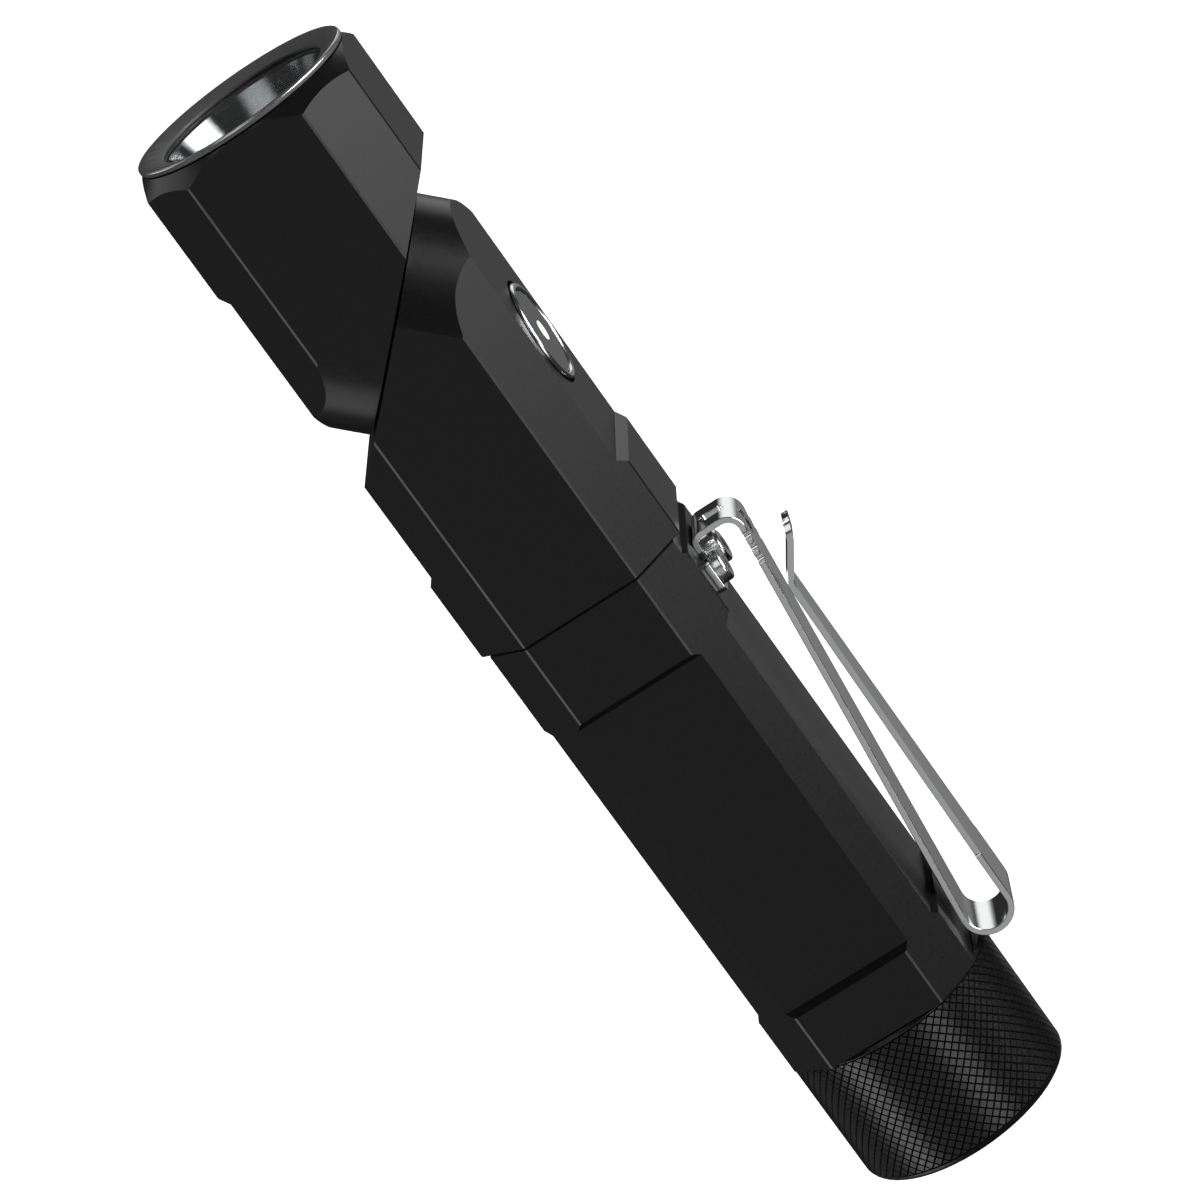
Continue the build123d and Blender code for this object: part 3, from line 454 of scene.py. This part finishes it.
class FLASHLIGHT_OT_stage(FlashlightOperator):
    """Makes the floor, the light and the camera"""

    bl_idname = "flashlight.stage"
    bl_label = "Stage"

    def make(self, settings):
        self.make_camera(settings.camera)
        self.make_floor(settings.stage)
        self.make_light(settings.stage)
        bpy.context.scene.view_settings.view_transform = "Standard"

    def make_camera(self, settings):
        data = bpy.data.cameras.new("camera")
        data.lens = settings.lens
        data.clip_start, data.clip_end = 0.01, 50
        camera = bpy.data.objects.new("camera", data)
        camera.location = settings.place
        camera.rotation_euler = Euler(settings.turn)
        bpy.context.scene.collection.objects.link(camera)
        bpy.context.scene.camera = camera

    def make_floor(self, settings):
        bm = bmesh.new()
        low = Matrix.Translation((0, 0, cad_low.z - settings.floor_drop))
        bmesh.ops.create_grid(bm, x_segments=8, y_segments=8, size=settings.floor_size / 2, matrix=low)
        mesh = bpy.data.meshes.new("floor")
        bm.to_mesh(mesh)
        bm.free()
        tone = (*settings.floor_colour, 1)
        material = finish("floor_paper", settings.floor_colour, 0.7, 0.05, bump=0.05, tint=0.01)
        material.node_tree.nodes["Principled BSDF"].inputs["Emission Color"].default_value = tone
        glow = material.node_tree.nodes["Principled BSDF"].inputs["Emission Strength"]
        glow.default_value = settings.floor_glow
        mesh.materials.append(material)
        floor = bpy.data.objects.new("floor", mesh)
        floor.visible_glossy = False
        floor.visible_diffuse = False
        floor.visible_shadow = False
        bpy.context.scene.collection.objects.link(floor)

    def make_light(self, settings):
        world = bpy.data.worlds.new("studio")
        bpy.context.scene.world = world
        world.use_nodes = True
        tree = world.node_tree
        tree.nodes.clear()
        place = new_node(tree, "ShaderNodeTexCoord")
        group = effect("softbox", make_softbox_group)
        total = None
        for towards, outer, inner, brightness in SOFTBOXES:
            box = new_node(tree, "ShaderNodeGroup", {"node_tree": group})
            tree.links.new(place.outputs["Generated"], box.inputs["Direction"])
            box.inputs["Towards"].default_value = Vector(towards).normalized()
            box.inputs["Outer"].default_value = math.cos(math.radians(outer))
            box.inputs["Inner"].default_value = math.cos(math.radians(inner))
            box.inputs["Brightness"].default_value = brightness
            add = new_node(tree, "ShaderNodeMath", {"operation": "ADD"})
            add.inputs[1].default_value = settings.ambient
            if total is not None:
                tree.links.new(total, add.inputs[1])
            tree.links.new(box.outputs["Light"], add.inputs[0])
            total = add.outputs["Value"]
        studio = new_node(tree, "ShaderNodeBackground")
        tree.links.new(total, studio.inputs["Strength"])
        sky = new_node(tree, "ShaderNodeBackground", Color=(*settings.sky_colour, 1))
        path = new_node(tree, "ShaderNodeLightPath")
        choose = new_node(tree, "ShaderNodeMixShader")
        end = new_node(tree, "ShaderNodeOutputWorld")
        tree.links.new(path.outputs["Is Camera Ray"], choose.inputs["Fac"])
        tree.links.new(studio.outputs["Background"], choose.inputs[1])
        tree.links.new(sky.outputs["Background"], choose.inputs[2])
        tree.links.new(choose.outputs["Shader"], end.inputs["Surface"])


# ---- Anodised bodies ----
class FLASHLIGHT_OT_bodies(FlashlightOperator):
    """Makes the battery tube, the housing and the head, with broken corners and painted shade on the tube's
    sloping steps
    """

    bl_idname = "flashlight.bodies"
    bl_label = "Anodised bodies"

    def make(self, settings):
        coat = finish(
            "anodised_coat", settings.finish.anodised, 0.29, 0.02, bump=0.012, tint=0.08,
            Specular_IOR_Level=0.38,
        )
        # The steps' finish has two parts. Its darker colour is painted shade, in place of the shadow on the
        # tube's outer sloping faces. Its higher roughness is a matt finish.
        step_shade = finish(
            "anodised_step_painted_shade", settings.finish.step, 0.75, 0.04, bump=0.02, Specular_IOR_Level=0.1
        )
        for node, body in (("battery_tube", "body"), ("body_housing", "body"), ("head_housing", "head")):
            bm = merged_copy(node)
            break_corners(bm, settings.edges.body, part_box("body_housing")[0].z)
            bm.normal_update()
            for face in bm.faces:
                # the tube's outer sloping faces take the painted shade
                if node == "battery_tube" and self.is_painted_shade_ramp(face):
                    face.material_index = 1
            add_piece(bm, node + "_coated", body, [coat, step_shade], [node])

    def is_painted_shade_ramp(self, face):
        """True for a sloping face on the outside, where the tube's width steps: these faces get the painted
        shade.
        """
        middle = face.calc_center_median()
        return (
            RAMP_SLOPES[0] < abs(face.normal.z) < RAMP_SLOPES[1]
            and middle.xy.length > RAMP_REACH and face.normal.xy.dot(middle.xy) > 0
        )


# ---- Tail cap ----
class FLASHLIGHT_OT_tail_cap(FlashlightOperator):
    """Makes the tail cap with its diamond knurl"""

    bl_idname = "flashlight.tail_cap"
    bl_label = "Tail cap"

    def make(self, settings):
        knurl = settings.knurl
        low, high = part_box("tail_cap")
        reach = high.x
        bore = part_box("tail_contact_ring")[1].x + BORE_PLAY
        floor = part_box("tail_contact_board")[0].z
        valley = reach - knurl.depth
        bottom, top = low.z + knurl.foot_band, high.z - knurl.mouth_band
        bm = bmesh.new()
        self.make_diamonds(bm, knurl, valley, bottom, top)
        rims = [e for e in bm.edges if e.is_boundary]
        foot = [e for e in rims if max(v.co.z for v in e.verts) < (bottom + top) / 2]
        mouth = [e for e in rims if e not in foot]
        curve = [
            (reach - knurl.foot_radius * (1 - math.cos(a)), low.z + knurl.foot_radius * (1 - math.sin(a)))
            for a in (math.pi / 2 * i / FOOT_STEPS for i in range(1, FOOT_STEPS + 1))
        ]
        self.close_end(bm, foot, [(reach, bottom - BAND_STEP)] + curve)
        rim = high.z - knurl.mouth_chamfer
        self.close_end(bm, mouth, [
            (reach, top + BAND_STEP), (reach, rim), (reach - knurl.mouth_chamfer, high.z),
            (bore, high.z), (bore, floor),
        ])
        bmesh.ops.recalc_face_normals(bm, faces=bm.faces)
        coat = finish("knurled_coat", settings.finish.knurled, 0.30, 0.06, bump=0.05)
        add_piece(bm, "tail_cap_knurled", "cap", [coat], ["tail_cap"], KNURL_SHARP_ANGLE)

    def make_diamonds(self, bm, knurl, valley, bottom, top):
        """A band of raised diamonds: a grid's quads are poked, and the grid's own edges are dissolved."""
        made = bmesh.ops.create_circle(bm, cap_ends=False, radius=valley, segments=knurl.around)
        bmesh.ops.translate(bm, verts=made["verts"], vec=(0, 0, bottom))
        ring = list(bm.edges)
        for _ in range(knurl.rows):
            lifted = bmesh.ops.extrude_edge_only(bm, edges=ring)["geom"]
            points = [g for g in lifted if isinstance(g, bmesh.types.BMVert)]
            bmesh.ops.translate(bm, verts=points, vec=(0, 0, (top - bottom) / knurl.rows))
            ring = [g for g in lifted if isinstance(g, bmesh.types.BMEdge)]
        bmesh.ops.recalc_face_normals(bm, faces=bm.faces)
        grid = [e for e in bm.edges if not e.is_boundary]
        for point in bmesh.ops.poke(bm, faces=list(bm.faces))["verts"]:
            point.co.xy *= valley / point.co.xy.length
        bmesh.ops.dissolve_edges(bm, edges=grid, use_verts=False)
        outward = sum(f.normal.dot(f.calc_center_median() * Vector((1, 1, 0))) for f in bm.faces) > 0
        if not outward:
            bmesh.ops.reverse_faces(bm, faces=bm.faces)
        bmesh.ops.inset_individual(
            bm, faces=list(bm.faces), thickness=knurl.groove / 2, depth=knurl.depth, use_even_offset=True
        )

    def close_end(self, bm, ring, stations):
        """Carries a ring of edges through (radius, height) stations and closes it."""
        for radius, height in stations:
            lifted = bmesh.ops.extrude_edge_only(bm, edges=ring)["geom"]
            for point in (g for g in lifted if isinstance(g, bmesh.types.BMVert)):
                point.co.xy *= radius / point.co.xy.length
                point.co.z = height
            ring = [g for g in lifted if isinstance(g, bmesh.types.BMEdge)]
        bmesh.ops.contextual_create(bm, geom=ring)


# ---- Clip ----
class FLASHLIGHT_OT_clip(FlashlightOperator):
    """Makes the pocket clip with rounded edges, and finishes its screws"""

    bl_idname = "flashlight.clip"
    bl_label = "Pocket clip"

    def make(self, settings):
        steel = finish(
            "polished_steel", settings.finish.steel, 0.12, 0.03, metallic=1.0, bump=0.06, tint=0.05,
            pattern="drawn",
        )
        bm = merged_copy("clip", CLIP_MERGE_DISTANCE)
        self.round_sides(bm, settings.edges.strip)
        add_piece(bm, "clip_polished", "body", [steel], ["clip"])
        screws = finish("screw_steel", settings.finish.steel, 0.22, 0.03, metallic=1.0, bump=0.01)
        dress(screws, "clip_screws")

    def round_sides(self, bm, width):
        """Rounds the two long edges of each of the strip's narrow sides."""
        bmesh.ops.bevel(
            bm, geom=[e for e in bm.edges if self.is_side_edge(e)], offset=width, offset_type="OFFSET",
            segments=3, profile=0.5, affect="EDGES", clamp_overlap=False, material=-1,
        )

    def is_side_edge(self, edge):
        """True between a narrow outer side, which faces along Y, and a broad face."""
        if len(edge.link_faces) != 2 or edge.calc_face_angle() < CLIP_EDGE_ANGLE:
            return False
        if min(abs(v.co.y) for v in edge.verts) < CLIP_HALF_WIDTH:
            return False
        facing = sorted(abs(f.normal.y) for f in edge.link_faces)
        return facing[0] < 0.1 and facing[1] > ALONG


# ---- Button ----
class FLASHLIGHT_OT_button(FlashlightOperator):
    """Finishes the button, its ring and its window"""

    bl_idname = "flashlight.button"
    bl_label = "Button"

    def make(self, settings):
        looks = settings.finish
        self.make_ring(finish("button_chrome", looks.chrome, 0.20, 0.03, metallic=1.0, bump=0.01, tint=0.02))
        dress(finish("button_gloss", looks.button, 0.08, 0.03, bump=0.01, Coat_Weight=0.6), "button_cap")
        lit = finish("indicator_lit", looks.indicator, 0.2, 0.05, bump=0.02)
        shader = lit.node_tree.nodes["Principled BSDF"]
        shader.inputs["Emission Color"].default_value = (*looks.indicator, 1)
        shader.inputs["Emission Strength"].default_value = 0.6
        dress(lit, "indicator_window")
        dress(finish("switch_body", looks.button, 0.45, 0.05), "tactile_switch")
        dress(finish("plunger_plastic", (0.7, 0.7, 0.68), 0.4, 0.05), "switch_plunger")

    def make_ring(self, chrome):
        """The ring, with a round rim and the undercut that holds the button's flange."""
        low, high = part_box("button_ring")
        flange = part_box("button_cap")[1]
        middle = (low.z + high.z) / 2
        outer = (high.z - low.z) / 2 - RING_GROOVE
        bore, undercut = outer - RING_WIDTH, flange.y + FLANGE_PLAY
        shelf = low.x + RING_SHELF
        crown = (outer - bore) / 2
        arc = [
            (outer - crown * (1 - math.cos(a)), high.x - crown * (1 - math.sin(a)))
            for a in (math.pi * i / CROWN_STEPS for i in range(CROWN_STEPS + 1))
        ]
        profile = [(outer, low.x)] + arc + [(bore, shelf), (undercut, shelf), (undercut, low.x)]
        bm = bmesh.new()
        points = [bm.verts.new((x, 0, middle + radius)) for radius, x in profile]
        edges = [bm.edges.new(pair) for pair in zip(points, points[1:] + points[:1])]
        bmesh.ops.spin(
            bm, geom=points + edges, cent=(0, 0, middle), axis=(1, 0, 0), angle=2 * math.pi,
            steps=RING_STEPS, use_merge=True,
        )
        bmesh.ops.remove_doubles(bm, verts=bm.verts, dist=MERGE_DISTANCE)
        bmesh.ops.recalc_face_normals(bm, faces=bm.faces)
        add_piece(bm, "button_ring_domed", "body", [chrome], ["button_ring"])


# ---- Front ----
class FLASHLIGHT_OT_front(FlashlightOperator):
    """Makes the bezel, and finishes the lens, the reflector and the LED"""

    bl_idname = "flashlight.front"
    bl_label = "Bezel and optics"

    def make(self, settings):
        looks = settings.finish
        turned = finish("bezel_turned", looks.bezel, 0.46, 0.04, bump=0.06, pattern="rings")
        # painted highlight: the bezel's rounded outer rim is given polished steel in place of the highlight
        # along that edge
        bright = finish("bezel_rim_painted_highlight", looks.steel, 0.22, 0.05, metallic=1.0, bump=0.04)
        bm = merged_copy("bezel_ring")
        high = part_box("bezel_ring")[1]
        for face in round_edges(bm, settings.edges.front, 2, BEZEL_EDGE_ANGLE):
            middle = face.calc_center_median()
            # the outer rim's rounded faces take the painted highlight
            if middle.xy.length > high.x - RIM_DEPTH and middle.z > high.z - RIM_DEPTH:
                face.material_index = 1
        add_piece(bm, "bezel_turned", "head", [turned, bright], ["bezel_ring"])
        mirror = finish("reflector_mirror", looks.mirror, 0.10, 0.03, metallic=1.0, bump=0.01, tint=0.02)
        dress(mirror, "reflector")
        glass = finish(
            "lens_glass", looks.glass, 0.0, 0.0, bump=0.0, tint=0.01, Transmission_Weight=1.0, IOR=1.5
        )
        dress(glass, "lens")
        dress(finish("led_phosphor", looks.phosphor, 0.35, 0.05, Coat_Weight=1.0), "led_emitter")
        dress(finish("led_board_white", (0.72, 0.72, 0.70), 0.45, 0.06), "led_board")
        dress(finish("gasket_plastic", (0.65, 0.65, 0.62), 0.5, 0.05), "led_gasket")


# ---- Inside ----
class FLASHLIGHT_OT_inside(FlashlightOperator):
    """Finishes the battery, the boards, the springs, the seals and the swivel"""

    bl_idname = "flashlight.inside"
    bl_label = "Inside"

    def make(self, settings):
        looks = settings.finish
        rubber = finish("seal_rubber", looks.rubber, 0.55, 0.08, bump=0.10)
        dress(rubber, "tail_oring", "joint_oring", "swivel_seal", "lens_seal")
        board = finish("board_mask", looks.board, 0.35, 0.06, bump=0.08, tint=0.4)
        dress(board, "tail_contact_board", "driver_board", "switch_board")
        brass = finish("turned_brass", (0.72, 0.50, 0.20), 0.25, 0.06, metallic=1.0, pattern="rings")
        dress(brass, "tail_contact_ring", "driver_ring")
        gold = finish("spring_gold", (0.85, 0.62, 0.28), 0.22, 0.05, metallic=1.0)
        dress(gold, "tail_spring", "front_spring")
        steel = finish("turned_steel", looks.steel, 0.25, 0.05, metallic=1.0, pattern="rings")
        dress(steel, "swivel_spindle", "spring_washer", "swivel_stop_pin", "led_board_screws")
        dress(finish("bearing_plastic", (0.75, 0.75, 0.72), 0.4, 0.05), "bearing_washer")
        dress(finish("cell_wrap", looks.wrap, 0.30, 0.05, bump=0.04), "battery_cell")


STEPS = (
    FLASHLIGHT_OT_stage, FLASHLIGHT_OT_bodies, FLASHLIGHT_OT_tail_cap, FLASHLIGHT_OT_clip,
    FLASHLIGHT_OT_button, FLASHLIGHT_OT_front, FLASHLIGHT_OT_inside,
)


class FLASHLIGHT_PT_panel(bpy.types.Panel):
    """The flashlight's panel in the 3D view's sidebar"""

    bl_idname = "FLASHLIGHT_PT_panel"
    bl_label = "Flashlight"
    bl_space_type = "VIEW_3D"
    bl_region_type = "UI"
    bl_category = "Flashlight"

    def draw(self, context):
        for step in STEPS:
            self.layout.operator(step.bl_idname)
        for group in ("camera", "stage", "edges", "knurl", "finish"):
            box = self.layout.box()
            settings = getattr(context.scene.flashlight, group)
            for name in settings.__annotations__:
                box.prop(settings, name)


CLASSES = (
    FlashlightCamera, FlashlightStage, FlashlightEdges, FlashlightKnurl, FlashlightFinish,
    FlashlightSettings, *STEPS, FLASHLIGHT_PT_panel,
)


def register():
    for cls in CLASSES:
        bpy.utils.register_class(cls)
    bpy.types.Scene.flashlight = PointerProperty(type=FlashlightSettings)


def unregister():
    del bpy.types.Scene.flashlight
    for cls in reversed(CLASSES):
        bpy.utils.unregister_class(cls)


def main():
    """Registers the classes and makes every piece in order."""
    register()
    for step in STEPS:
        group, name = step.bl_idname.split(".")
        getattr(getattr(bpy.ops, group), name)()


if __name__ == "__main__":
    main()
